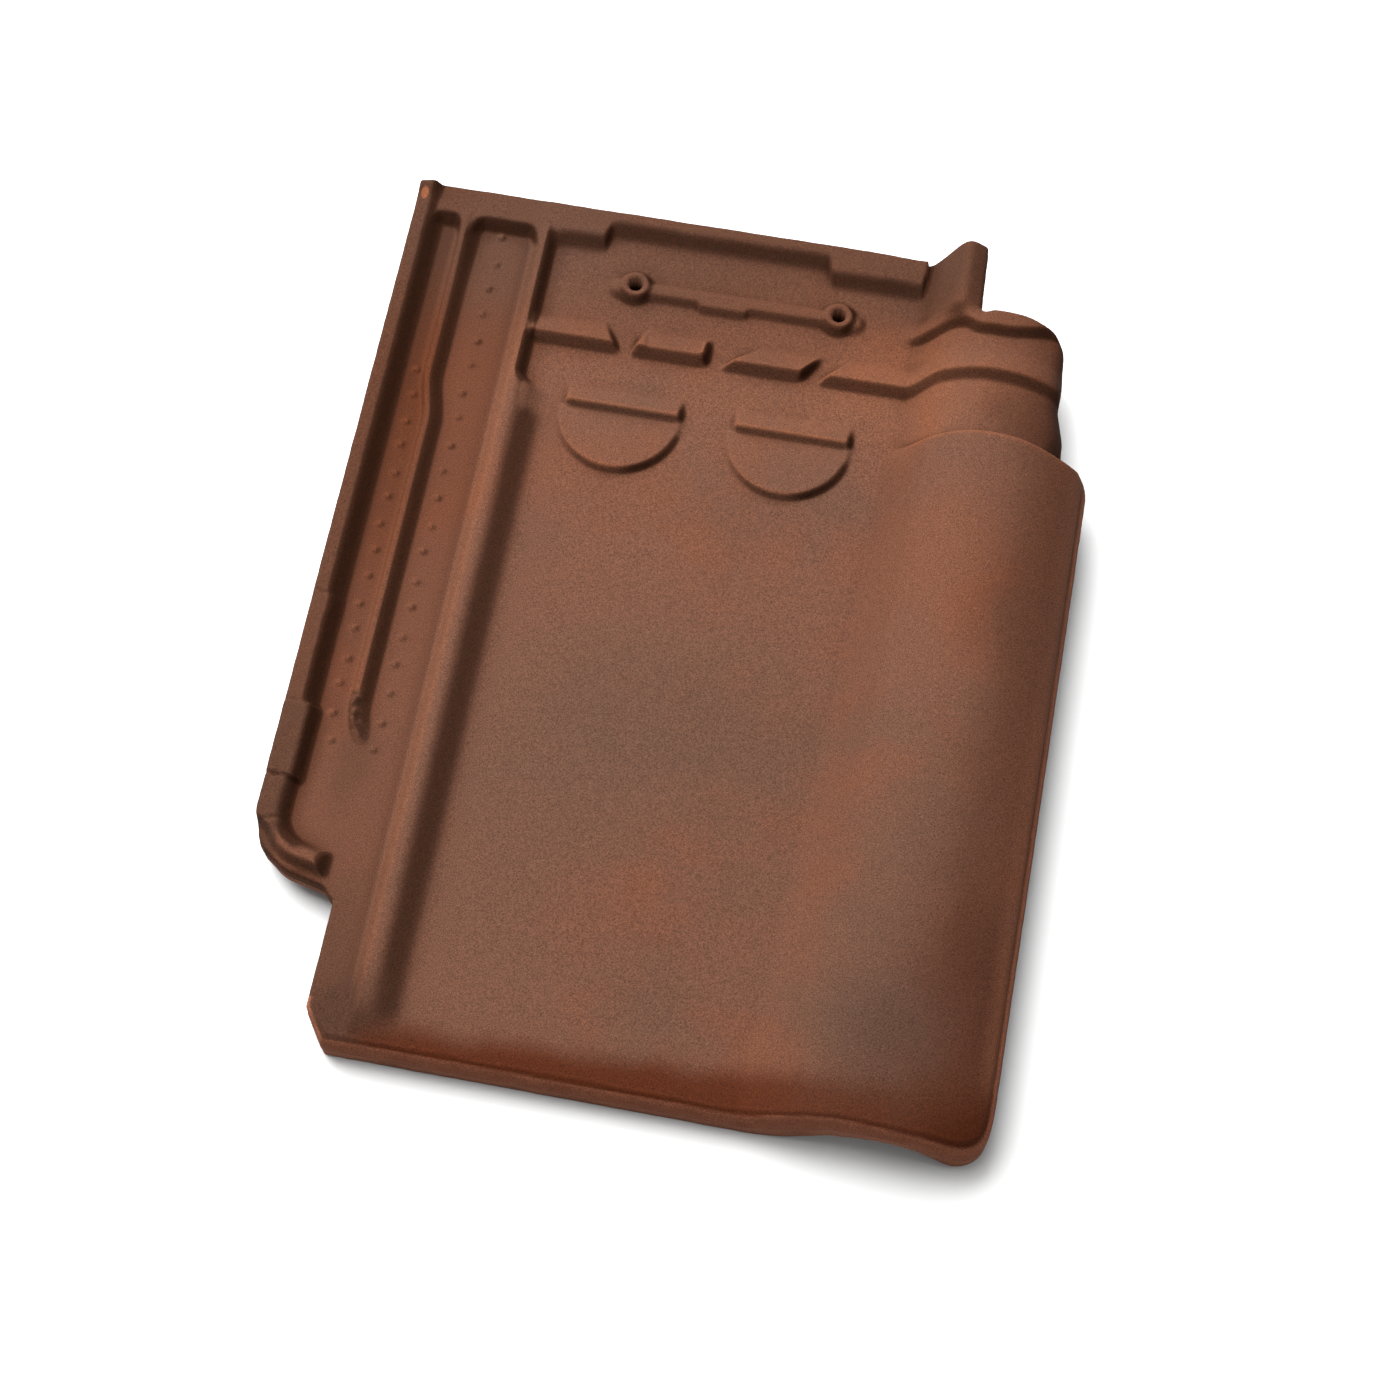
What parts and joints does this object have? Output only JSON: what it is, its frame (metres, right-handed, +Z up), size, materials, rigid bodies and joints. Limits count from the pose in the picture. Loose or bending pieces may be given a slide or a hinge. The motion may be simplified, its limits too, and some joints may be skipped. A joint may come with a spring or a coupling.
{
  "type": "clay roof tile",
  "caption": "Interlocking fired-clay roof tile with a flat pan, a side roll with a stepped neck, ribbed water channels, a head lock with nail holes and hanging nibs.",
  "frame": {"origin": "on the floor under the middle of the tile's outline", "axes": "+X to the covering edge with the roll, +Y up the slope to the head, +Z up out of the weather face"},
  "size_m": [0.29, 0.37, 0.0498],
  "materials": {
    "fired_clay": "matte fired clay with a brown slip coat"
  },
  "bodies": {
    "root": {"roof_tile": "fired_clay"}
  },
  "joints": []
}
